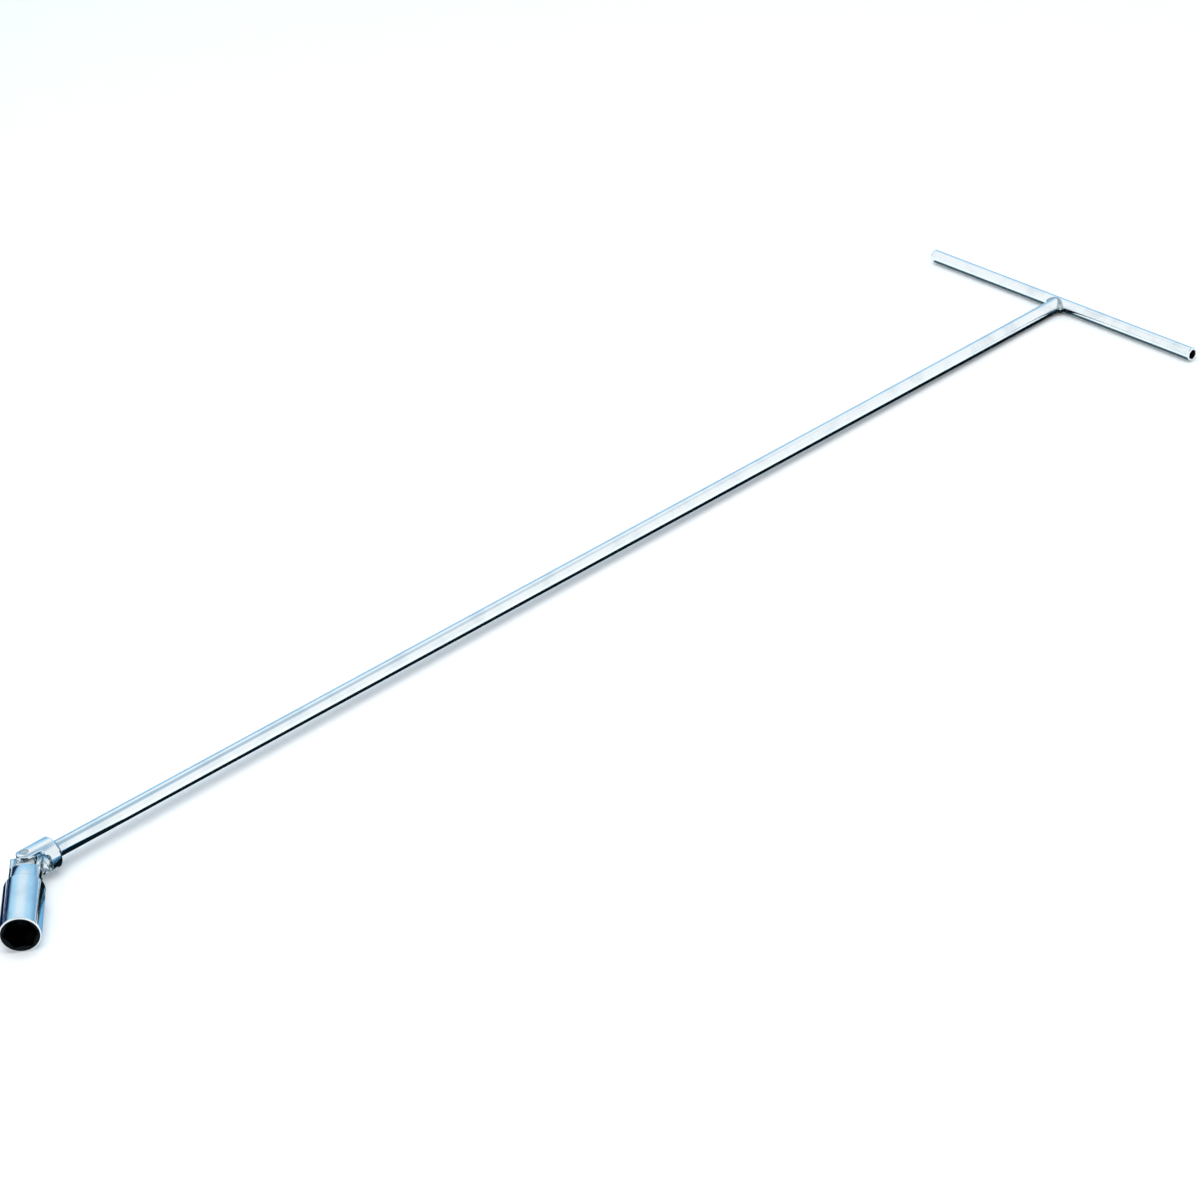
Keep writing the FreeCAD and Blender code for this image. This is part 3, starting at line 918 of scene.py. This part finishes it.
@dataclass
class Shaft:
    """The rod, its fork, its two welds and the handle tube. X runs along the rod, from joint to handle.

    Args:
        axes: the shaft's axes, origin at the joint's centre.
        reach: distance from the joint's centre to the handle tube's axis.
        bore: the handle tube's inner radius.
        half_bar: half the handle tube's length.
        rod: the rod's radius.
        bar: the handle tube's outer radius.
        fork_back: where the rod leaves its fork.
        rod_length: the rod's length, by which its lean makes its box higher.
        spigot: radius of the rod's end in its fork.
        spigot_length: how far that end goes into the fork.
        setback: how near the tube's axis the rod's saddled end may come.
        weld_leg: width of the bead at the fork.
        weld_height: how far the bead at the handle stands above the rod's axis.
        around: points round the rod and the tube.
    """

    axes: Axes
    reach: float
    bore: float
    half_bar: float
    rod: float
    bar: float
    fork_back: float = 20.0 * MM
    rod_length: float = 0.9245
    spigot: float = 4.0 * MM
    spigot_length: float = 6.0 * MM
    setback: float = 1.5 * MM
    weld_leg: float = 2.6 * MM
    weld_height: float = 6.0 * MM
    around: int = 96

    @classmethod
    def from_frame(cls) -> "Shaft":
        """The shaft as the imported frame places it.

        Its radii are half the heights of its parts' boxes, to the half and the tenth of a millimetre.

        Returns:
            The shaft.
        """
        bore, swing = record_mount("handle_bore"), record_joint("fork_swing")
        centre = np.array(swing["pos_m"])
        along = np.array(bore["pos_m"]) - centre
        low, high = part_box("handle_bar")
        bar_half = (high.z - low.z) / 2
        low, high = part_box("shaft_rod")
        reach = float(np.linalg.norm(along))
        rod_half = (high.z - low.z - cls.rod_length * abs(along[2]) / reach) / 2
        return cls(
            axes=Axes.from_directions(centre, along, np.array(swing["axis"])),
            reach=reach,
            bore=bore["dims"]["r_mm"] * MM,
            half_bar=bore["dims"]["length_mm"] / 2 * MM,
            rod=round(rod_half / MM * 2) / 2 * MM,
            bar=round(bar_half / MM * 10) / 10 * MM,
        )

    def rod_shell(self) -> Shell:
        """The rod's surface.

        The half section goes from the end of the spigot, over the shoulder at the fork, along the rod. Its
        radius wanders by a few microns, as a drawn bar's does. The rings of the end are pushed back to a
        distance from the tube's axis of the square root of bar squared minus height squared, to sit on it.

        Returns:
            The shell, poles closed.
        """
        tip = self.fork_back - self.spigot_length
        end = self.reach - self.setback
        run = np.linspace(self.fork_back + 0.3 * MM, self.reach - self.bar - 1 * MM, 230)
        side = self.rod + 0.005 * MM * slow_waves(run, seed=11, longest=0.31, octaves=5)
        spigot = np.array([[tip, 0.3], [tip, 0.92], [tip + 0.3 * MM, 1.0], [self.fork_back - 0.1 * MM, 1.0]])
        shoulder = [[self.fork_back, self.spigot], [self.fork_back, self.rod - 0.3 * MM]]
        outline = np.concatenate([spigot * (1, self.spigot), shoulder, np.stack([run, side], axis=1)])
        rings = turned(outline, self.around)
        saddle_radii = np.concatenate([[self.rod, self.rod], np.linspace(0.97, 0.05, 9) * self.rod])
        face = turned(np.stack([np.full(len(saddle_radii), end), saddle_radii], axis=1), self.around)
        seat = self.reach - np.sqrt(np.clip(self.bar**2 - face[..., 2] ** 2, self.setback**2, None))
        seat[0] -= 0.5 * MM
        face[..., 0] = seat
        poles = np.array([[tip, 0, 0], [self.reach - self.bar, 0, 0]])
        return Shell(np.concatenate([rings, face]), poles)

    def tube_shell(self) -> Shell:
        """The handle tube's surface, along its own X axis.

        The closed half section goes along the outside, over the rounded edge at one end, back through the
        bore and over the other end. The outside wanders by a few microns, as a drawn tube's does.

        Returns:
            The shell, closed both ways.
        """
        end = self.half_bar
        corners = np.array([[-end, self.bore], [-end, self.bar], [end, self.bar], [end, self.bore]])
        radii = np.array([0.25, 1.0, 1.0, 0.25]) * MM
        outline = subdivided(rounded_outline(corners, radii), 2.5 * MM)
        along, out = outline[:, 0], outline[:, 1]
        outer = out > self.bar - 1e-7
        flat = np.abs(along) < end - 1 * MM
        wander = 0.004 * MM
        out = out + np.where(outer & flat, wander * slow_waves(along, seed=5, longest=0.09) - wander, 0)
        edge = rubbed(outline, self.bar, [-end, end])
        inside = np.where(out < self.bore + 0.1 * MM, np.clip((end - np.abs(along)) / (3 * MM), 0, 1), 0)
        return Shell(turned(np.stack([along, out], axis=1), self.around), edge=edge, inside=inside)

    def build(self, maker: Maker) -> None:
        """Makes and dresses the shaft's pieces.

        Args:
            maker: the maker.
        """
        bar_axes = self.axes.moved(self.reach, ALONG_Y)
        ring = WeldRing(self.rod, self.weld_leg, self.fork_back)
        bead = HandleWeld(self.rod, self.bar, self.reach, self.weld_height)
        maker.shell_piece("long_rod", "shaft_rod", self.rod_shell(), self.axes, DRAWN_ROD)
        maker.shell_piece("handle_tube", "handle_bar", self.tube_shell(), bar_axes, DRAWN_TUBE)
        maker.shell_piece("handle_weld_bead", "handle_weld", bead.shell(), self.axes, PLATED_WELD_WITH_PAINTED_SHADE)
        maker.shell_piece("fork_weld_bead", "shaft_yoke_weld", ring.shell(), self.axes, PLATED_WELD_WITH_PAINTED_SHADE)
        maker.machined_copy("rod_fork", "shaft_yoke", self.axes, MACHINED_FORK, edge=0.25)


@dataclass
class Cross:
    """The cube of the joint with its long pin. Z runs along the long pin and X along the short one.

    Args:
        axes: the cube's axes, origin at the joint's centre.
        long_pin: the long pin's radius.
        short_hole: radius of the hole through it.
        half: half the long pin's length.
    """

    axes: Axes
    long_pin: float = 3.0 * MM
    short_hole: float = 2.05 * MM
    half: float = 10.0 * MM

    @classmethod
    def from_frame(cls) -> "Cross":
        """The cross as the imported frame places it.

        Returns:
            The cross.
        """
        swing, tilt = record_joint("fork_swing"), record_joint("socket_tilt")
        directions = np.array(tilt["axis"]), np.array(swing["axis"])
        return cls(Axes.from_directions(np.array(swing["pos_m"]), *directions))

    def build(self, maker: Maker) -> None:
        """Makes and dresses the cube and the long pin, which is drilled across for the short pin.

        Args:
            maker: the maker.
        """
        upright = self.axes.moved(0, ALONG_Z)
        drill = drill_bit(np.array([[-1.0, 1], [1, 1]]) * (2 * self.long_pin, self.short_hole), 48, 0)
        pin = Pin(self.long_pin, self.half).shell()
        maker.machined_copy("joint_cube", "centre_block", self.axes, GROUND_BLOCK, edge=0.3)
        maker.shell_piece("long_joint_pin", "long_pin", pin, upright, GROUND_PIN, cutters=(drill,))


@dataclass
class Socket:
    """The deep socket with its fork and two pins. X runs towards the mouth, from the joint's centre.

    Args:
        axes: the socket's axes, origin at the joint's centre.
        back: where the socket's back face lies.
        length: the socket's length.
        radius: its outer radius.
        stud_bore: radius of the bore behind the hexagon.
        shoulder: depth of the hexagon, from the mouth.
        lock_along: where the lock pin lies.
        flats: half the distance across the hexagon's flats.
        corner_radius: radius of its corners.
        mouth: radius of the lead-in cone at the mouth.
        cone_depth: depth of that cone.
        tail: radius of the bore for the fork's tail.
        tail_length: length of that bore.
        pin: radius of both pins.
        joint_pin_half: half the short pin's length.
        pin_inset: how far the lock pin's ends lie under the socket's side.
        around: points round the socket.
    """

    axes: Axes
    back: float
    length: float
    radius: float
    stud_bore: float
    shoulder: float
    lock_along: float
    flats: float = 9.6 * MM
    corner_radius: float = 0.7 * MM
    mouth: float = 12.0 * MM
    cone_depth: float = 1.6 * MM
    tail: float = 6.0 * MM
    tail_length: float = 12.0 * MM
    pin: float = 2.0 * MM
    joint_pin_half: float = 10.0 * MM
    pin_inset: float = 0.3 * MM
    around: int = 432

    @classmethod
    def from_frame(cls) -> "Socket":
        """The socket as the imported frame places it.

        Returns:
            The socket.
        """
        outside, stud = record_mount("socket_outside"), record_mount("stud_clearance")
        tilt = record_joint("socket_tilt")
        centre = np.array(tilt["pos_m"])
        axes = Axes.from_directions(centre, np.array(outside["axis"]), np.array(tilt["axis"]))
        low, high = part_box("socket_shell")
        lock_low, lock_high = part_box("socket_lock_pin")
        return cls(
            axes=axes,
            back=float(centre[1] - high.y),
            length=float(high.y - low.y),
            radius=outside["dims"]["r_mm"] * MM,
            stud_bore=stud["dims"]["r_mm"] * MM,
            shoulder=float(stud["pos_m"][1] - stud["dims"]["length_mm"] * MM / 2),
            lock_along=float(axes.to_group(np.array((lock_low + lock_high) / 2))[0]),
        )

    def hexagon(self, angle: np.ndarray) -> np.ndarray:
        """Distance from the axis to the hexagon's wall at each angle.

        A flat at the angle d from its middle is flats / cos(d) away. Within the corner's arc, with its centre
        c out and at the angle e from the corner, the wall is c cos(e) + sqrt(r squared - (c sin(e)) squared)
        away.

        Args:
            angle: angles round the axis.

        Returns:
            The distances.
        """
        sixth = FULL_TURN / 6
        from_flat = (angle + sixth / 2) % sixth - sixth / 2
        from_corner = sixth / 2 - np.abs(from_flat)
        centre = (self.flats - self.corner_radius) / math.cos(sixth / 2)
        tangent = self.corner_radius * math.sin(sixth / 2), self.corner_radius * math.cos(sixth / 2)
        reach = math.atan2(tangent[0], centre + tangent[1])
        arc = centre * np.cos(from_corner) + np.sqrt(
            np.clip(self.corner_radius**2 - (centre * np.sin(from_corner)) ** 2, 0, None)
        )
        return np.where(from_corner < reach, arc, self.flats / np.cos(from_flat))

    def shell(self) -> Shell:
        """The socket's surface.

        The closed half section goes along the outside to the mouth, over its rounded lip, down the lead-in
        cone, along the hexagon, over its shoulder into the stud bore and through the tail's bore to the back.
        In the hexagon each ring's radius is the larger of the turned one and the hexagon's.

        Returns:
            The shell, closed both ways.
        """
        mouth = self.back + self.length
        floor = self.back + self.tail_length
        shoulder = mouth - self.shoulder
        corners = np.array(
            [
                [self.back, self.tail],
                [self.back, self.radius],
                [mouth, self.radius],
                [mouth, self.mouth],
                [mouth - self.cone_depth, self.flats],
                [shoulder, self.flats],
                [shoulder, self.stud_bore],
                [floor, self.stud_bore],
                [floor, self.tail],
            ]
        )
        radii = np.array([0.2, 0.8, 0.6, 0.12, 0.15, 0.1, 0.2, 0.3, 0.2]) * MM
        outline = rounded_outline(corners, radii)
        coned = (outline[:, 0] > mouth - self.cone_depth) & (outline[:, 1] < self.mouth + 0.2 * MM)
        outline = subdivided(outline, np.where(coned, 0.1 * MM, 1.5 * MM))
        angle = angles(self.around)
        along, out = outline[:, :1], outline[:, 1:]
        broached = (along > shoulder - 1e-6) & (along < mouth - 0.05 * MM) & (out < self.mouth + 1e-6)
        wall = np.where(broached, np.maximum(out, self.hexagon(angle)[None, :]), out)
        on_shoulder = (np.abs(along - shoulder) < 0.12 * MM) & (out < self.flats - 0.1 * MM)
        wall = np.where(on_shoulder, out, wall)
        inside = np.where(outline[:, 1] < self.mouth + 0.1 * MM, 1.0, 0)
        inside = np.where(outline[:, 0] < self.back + 0.5 * MM, 0, inside)
        edge = rubbed(outline, self.radius, [self.back, mouth])
        return Shell(carried(along, wall, angle), edge=edge, inside=inside)

    def build(self, maker: Maker) -> None:
        """Makes and dresses the socket's pieces.

        The lock pin's hole is the drill's half section: as wide as the pin, and countersunk at both ends.

        Args:
            maker: the maker.
        """
        wide, narrow = 1.25, 1.03
        section = [[-1.2, wide], [-0.97, wide], [-0.93, narrow], [0.93, narrow], [0.97, wide], [1.2, wide]]
        drill = drill_bit(np.array(section) * (self.radius, self.pin), 64, self.lock_along)
        joint_axes = self.axes.moved(0, ALONG_Z)
        lock_axes = self.axes.moved(self.lock_along, ALONG_Z)
        joint_pin = Pin(self.pin, self.joint_pin_half).shell()
        lock_pin = Pin(self.pin, self.radius - self.pin_inset).shell()
        maker.shell_piece("deep_socket", "socket_shell", self.shell(), self.axes, TURNED_SOCKET, (drill,))
        maker.machined_copy("socket_fork", "socket_yoke", self.axes, MACHINED_FORK, edge=0.25)
        maker.shell_piece("short_joint_pin", "short_pin", joint_pin, joint_axes, GROUND_PIN)
        maker.shell_piece("lock_pin", "socket_lock_pin", lock_pin, lock_axes, GROUND_PIN)


# Studio


def lay_flat(name: str, corners: tuple, level: float, material: Material) -> Object:
    """A flat four-cornered piece of the studio.

    Args:
        name: its name.
        corners: its corners seen from above.
        level: its height.
        material: its material.

    Returns:
        The piece.
    """
    mesh = bpy.data.meshes.new(name)
    mesh.from_pydata([(x, y, level) for x, y in corners], [], [(0, 1, 2, 3)])
    mesh.materials.append(material)
    return in_scene(name, mesh)


def matt(name: str, specular: float) -> tuple[Material, bpy.types.Node]:
    """A matt material of paper or card, without its colour.

    Args:
        name: its name.
        specular: how much it shines.

    Returns:
        The material and its shader.
    """
    made = bpy.data.materials.new(name)
    made.use_nodes = True
    made.node_tree.nodes.clear()
    settings = {"Roughness": 0.9, "Specular IOR Level": specular}
    shader = add_node(made.node_tree, "ShaderNodeBsdfPrincipled", settings)
    add_node(made.node_tree, "ShaderNodeOutputMaterial", {}, {"Surface": shader.outputs[0]})
    return made, shader


@dataclass(frozen=True)
class PaintedReflectionCard:
    """A painted reflection: a sheet laid flat beside bright plate so that the plate has something dark or
    coloured to show.

    The camera doesn't see it and it casts no shade: only mirrors show it. The dark sheets are painted shade
    and the blue ones are painted reflections.

    Args:
        name: the card's name.
        corners: its four corners seen from above, in metres.
        colour: its colour.
    """

    name: str
    corners: tuple
    colour: str

    @classmethod
    def beside(cls, name: str, line: tuple, spread: tuple, colour: str) -> "PaintedReflectionCard":
        """A card along a line seen from above.

        Args:
            name: the card's name.
            line: the line's start and end.
            spread: how far left of the line its corners lie: at the start and the end, then at the end and
                the start again. Below 0 is to the right.
            colour: its colour.

        Returns:
            The card.
        """
        start, end = line
        ahead = unit((end - start)[:2])
        left = np.array([-ahead[1], ahead[0]])
        ends = (start[:2], end[:2], end[:2], start[:2])
        corners = tuple(tuple(place + left * reach) for place, reach in zip(ends, spread))
        return cls(name, corners, colour)

    def lay(self, level: float) -> None:
        """Lays the card.

        Args:
            level: the height that it lies at.
        """
        # a material for a painted reflection, seen only in the plate
        made, shader = matt(f"painted_reflection_card_{self.name}", specular=0.0)
        shader.inputs["Base Color"].default_value = linear(self.colour)
        card = lay_flat(f"painted_reflection_card_{self.name}", self.corners, level, made)
        card.visible_camera = False
        card.visible_diffuse = False
        card.visible_shadow = False


@dataclass
class Studio:
    """A pale floor, a soft white room with some blue in it, sheets that paint dark shade and blue reflections
    into the plate, and the camera.

    Args:
        floor_level: height of the surface that the wrench lies on.
        eye: the camera's place, in metres.
        azimuth: the way it looks, in degrees clockwise from +Y as seen from above.
        elevation: how far it looks down, in degrees.
        roll: how far it is turned about its own axis, in degrees.
        lens: focal length in mm on a 36 mm wide sensor.
        floor_size: width of the floor.
        floor_gap: how far the floor lies under the wrench.
        card_gap: how far the painted-reflection sheets lie over the floor's level.
        back_blues: the room's colours at the back, from the horizon upwards.
        back_left: its colour low at the back left.
        overhead: its colour overhead.
    """

    floor_level: float
    eye: tuple = (0.34931, -1.64788, 1.22019)
    azimuth: float = -0.842
    elevation: float = 32.267
    roll: float = -7.569
    lens: float = 101.46
    floor_size: float = 30.0
    floor_gap: float = 0.05 * MM
    painted_reflection_card_gap: float = 0.1 * MM
    back_blues: tuple = ("78A8D0", "B4E0FA")
    back_left: str = "0C2444"
    overhead: str = "A8C4D8"

    def build(self) -> None:
        """Makes the floor, the room, the lamp and the camera."""
        self.set_camera()
        self.lay_floor()
        self.light_room()
        self.hang_lamp("overhead", (0.3, 0.1, 1.9), size=1.6, watts=20.0)
        for card in self.painted_reflection_cards():
            card.lay(self.floor_level + self.painted_reflection_card_gap)
        bpy.context.scene.view_settings.view_transform = "Standard"

    def set_camera(self) -> None:
        """Sets the camera up from its angles: right, up and back are the columns of its matrix."""
        a, e, r = (math.radians(angle) for angle in (self.azimuth, self.elevation, self.roll))
        right = np.array([math.cos(a), math.sin(a), 0])
        back = np.array([math.sin(a) * math.cos(e), -math.cos(a) * math.cos(e), math.sin(e)])
        up = np.cross(back, right)
        rolled = math.cos(r) * right + math.sin(r) * up, -math.sin(r) * right + math.cos(r) * up
        camera = in_scene("camera", bpy.data.cameras.new("camera"))
        camera.data.lens = self.lens
        camera.data.sensor_width = 36
        camera.data.clip_end = 50
        placed = np.eye(4)
        placed[:3, :3] = np.stack([*rolled, back], axis=1)
        placed[:3, 3] = self.eye
        camera.matrix_world = Matrix(placed.tolist())
        bpy.context.scene.camera = camera

    def lay_floor(self) -> None:
        """A wide floor of matt white paper, with a faint unevenness, a hair under the wrench."""
        half = self.floor_size / 2
        corners = ((-half, -half), (half, -half), (half, half), (-half, half))
        made, shader = matt("matt_white_paper", specular=0.1)
        tree = made.node_tree
        place = add_node(tree, "ShaderNodeTexCoord").outputs["Object"]
        grain = Plating.noise(tree, place, 40.0, Lay.CAST, detail=3.0)
        tree.links.new(
            Plating.mixed(tree, grain, linear("F7F8F8"), linear("FAFAFA")), shader.inputs["Base Color"]
        )
        lay_flat("floor", corners, self.floor_level - self.floor_gap, made)

    def painted_reflection_cards(self) -> list:
        """The painted reflections: painted shade beside the rod, its fork and the handle, painted navy and
        blue reflections beside the socket.

        Returns:
            The sheets, placed from the joint, the handle and the socket.
        """
        joint = np.array(record_joint("fork_swing")["pos_m"])
        bore = record_mount("handle_bore")
        handle = np.array(bore["pos_m"])
        arm = np.array(bore["axis"]) * bore["dims"]["length_mm"] / 2 * MM
        rod = handle - joint
        mouth, back = np.zeros(3), np.array([0, 0.13, 0])
        # corners of the painted-shade sheet under the rod's fork
        fork = ((0.012, 0.050), (0.060, 0.050), (0.075, 0.100), (0.012, 0.072))
        return [
            # painted shade: a near-black sheet under the rod, mirrored as the dark shade along its lower edge
            PaintedReflectionCard.beside("rod", (joint + rod * 0.02, handle), (0.002, 0.000, -0.013, -0.020), "0A181E"),
            # painted shade: a grey-teal sheet, mirrored as the darker lower edge of the handle tube
            PaintedReflectionCard.beside("handle", (handle - arm, handle + arm), (0.010, 0.010, 0.002, 0.002), "4A6068"),
            # painted reflections: navy and blue sheets, mirrored as the socket's and the rod's dark and blue
            # bands
            PaintedReflectionCard.beside("socket_left", (mouth, back), (0.060, 0.110, 0.006, 0.006), "06142C"),
            PaintedReflectionCard.beside("back_left", (back / 3, back * 14), (1.600, 1.600, 0.070, 0.110), "1C4070"),
            PaintedReflectionCard.beside("socket_right", (mouth, back / 2), (-0.008, -0.008, -0.090, -0.090), "72A6C8"),
            PaintedReflectionCard.beside("back_right", (joint, joint + rod * 0.8), (0.220, 0.020, 0.010, 0.010), "7CAECC"),
            # painted shade: a near-black sheet, mirrored as shade on the underside of the rod's fork
            PaintedReflectionCard("fork", fork, "06121A"),
        ]

    def light_room(self) -> None:
        """A room of soft light: white, but blue low at the back, navy at the back left and pale overhead."""
        world = bpy.data.worlds.new("room")
        bpy.context.scene.world = world
        world.use_nodes = True
        tree = world.node_tree
        tree.nodes.clear()
        direction = add_node(tree, "ShaderNodeTexCoord").outputs["Generated"]
        parts = add_node(tree, "ShaderNodeSeparateXYZ", {}, {0: direction}).outputs
        ramp, mixed, white = Plating.ramp, Plating.mixed, linear("FFFFFF")
        blue = mixed(tree, ramp(tree, parts["Z"], 0.0, 0.5), *map(linear, self.back_blues))
        colour = mixed(tree, ramp(tree, parts["Z"], 0.45, 0.72), blue, white)
        leftwards, level = ramp(tree, parts["X"], -0.22, -0.42), ramp(tree, parts["Z"], 0.34, 0.16)
        colour = mixed(tree, Plating.product(tree, leftwards, level), colour, linear(self.back_left))
        colour = mixed(tree, ramp(tree, parts["Y"], 0.55, 0.15), colour, white)
        colour = mixed(tree, ramp(tree, parts["Z"], 0.76, 0.94), colour, linear(self.overhead))
        light = add_node(tree, "ShaderNodeBackground", {"Strength": 1.05}, {"Color": colour})
        add_node(tree, "ShaderNodeOutputWorld", {}, {"Surface": light.outputs[0]})

    @staticmethod
    def hang_lamp(name: str, place: tuple, size: float, watts: float) -> None:
        """A square soft lamp that hangs level, shines down and doesn't show in the plate.

        Args:
            name: the lamp's name.
            place: where it hangs.
            size: its width.
            watts: its power.
        """
        lamp = in_scene(name, bpy.data.lights.new(name, "AREA"))
        lamp.data.size = size
        lamp.data.energy = watts
        lamp.location = place
        lamp.visible_glossy = False


def main() -> None:
    """Builds the studio and the wrench's three groups."""
    logging.basicConfig(level=logging.INFO, format="%(message)s")
    Studio(floor_level=float(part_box("socket_shell")[0].z)).build()
    maker = Maker()
    Shaft.from_frame().build(maker)
    Cross.from_frame().build(maker)
    Socket.from_frame().build(maker)


if __name__ == "__main__":
    main()
